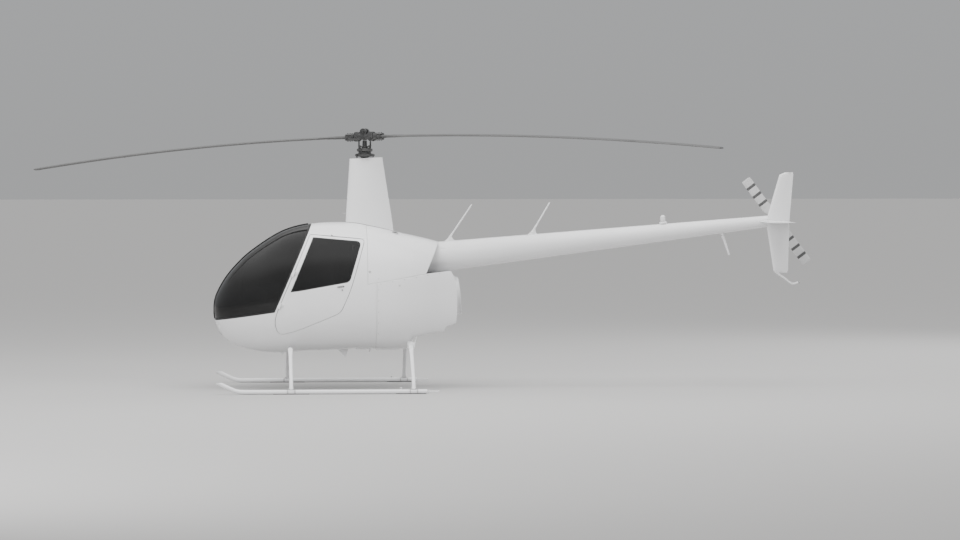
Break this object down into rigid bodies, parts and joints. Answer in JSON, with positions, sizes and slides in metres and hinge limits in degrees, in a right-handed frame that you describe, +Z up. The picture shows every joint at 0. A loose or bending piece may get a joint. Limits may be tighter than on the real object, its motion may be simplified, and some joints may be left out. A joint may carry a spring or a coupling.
{
  "type": "light two-seat helicopter",
  "caption": "Light helicopter with a bubble cabin, side doors, a slim tailcone, a teetering main rotor, a tail rotor and a tubular skid gear.",
  "frame": {"origin": "on the ground under the middle of the whole machine's box, rotor blades included", "axes": "+X aft, from nose to tail; +Y to starboard; +Z up"},
  "size_m": [8.0466, 3.6847, 2.6387],
  "materials": {
    "white_paint": "gloss",
    "dark_glass": "gloss",
    "charcoal_metal": "satin",
    "blade_grey": "satin",
    "tail_blade_grey": "satin",
    "cabin_trim": "matte",
    "seat_leather": "matte",
    "bare_metal": "satin"
  },
  "bodies": {
    "airframe": {"cabin_hull": "white_paint", "roof": "white_paint", "windscreen_left": "dark_glass", "windscreen_right": "dark_glass", "windscreen_bow": "charcoal_metal", "cabin_floor": "cabin_trim", "firewall": "cabin_trim", "seat_base": "cabin_trim", "seat_cushion_left": "seat_leather", "seat_cushion_right": "seat_leather", "seat_back_left": "seat_leather", "seat_back_right": "seat_leather", "console": "cabin_trim", "cyclic": "charcoal_metal", "collective": "charcoal_metal", "pedals_left": "charcoal_metal", "pedals_right": "charcoal_metal", "tank_left": "white_paint", "tank_right": "white_paint", "centre_cowl": "white_paint", "lower_cowl_left": "white_paint", "lower_cowl_right": "white_paint", "engine": "bare_metal", "engine_frame": "bare_metal", "fan_scroll": "white_paint", "cooling_fan": "charcoal_metal", "gearbox": "bare_metal", "mast_fairing": "white_paint", "swashplate_fixed": "charcoal_metal", "skid_left": "white_paint", "skid_right": "white_paint", "leg_front_left": "white_paint", "leg_front_right": "white_paint", "leg_rear_left": "white_paint", "leg_rear_right": "white_paint", "cross_tube_front": "white_paint", "cross_tube_rear": "white_paint", "tailcone": "white_paint", "tail_fin": "white_paint", "stabiliser": "white_paint", "tail_skid": "white_paint", "tail_gearbox": "white_paint", "aerial_front": "white_paint", "aerial_rear": "white_paint", "aerial_under": "white_paint", "aerial_belly": "white_paint", "beacon": "white_paint"},
    "main_rotor": {"rotor_mast": "charcoal_metal", "rotor_hub": "charcoal_metal", "rotor_blade_a": "blade_grey", "rotor_blade_b": "blade_grey", "swashplate_turning": "charcoal_metal"},
    "tail_rotor": {"tail_hub": "charcoal_metal", "tail_blade_a": "tail_blade_grey", "tail_blade_b": "tail_blade_grey"},
    "door_left": {"door_left": "white_paint", "door_glass_left": "dark_glass"},
    "door_right": {"door_right": "white_paint", "door_glass_right": "dark_glass"}
  },
  "joints": [
    {"name": "main_rotor_spin", "type": "hinge", "parent": "airframe", "child": "main_rotor", "pos_m": [-0.5935, 0, 2.555], "axis": [0, 0, 1], "continuous": true},
    {"name": "tail_rotor_spin", "type": "hinge", "parent": "airframe", "child": "tail_rotor", "pos_m": [3.6675, 0.25, 1.69], "axis": [0, 1, 0], "continuous": true},
    {"name": "door_left_hinge", "type": "hinge", "parent": "airframe", "child": "door_left", "pos_m": [-1.46416, -0.54932, 0.86], "axis": [-0.3961, -0.0139, -0.9181], "range_deg": [0, 70]},
    {"name": "door_right_hinge", "type": "hinge", "parent": "airframe", "child": "door_right", "pos_m": [-1.46416, 0.54932, 0.86], "axis": [0.3961, -0.0139, 0.9181], "range_deg": [0, 70]}
  ],
  "couplings": [
    {"joint": "tail_rotor_spin", "follows": "main_rotor_spin", "ratio": 6.66}
  ]
}
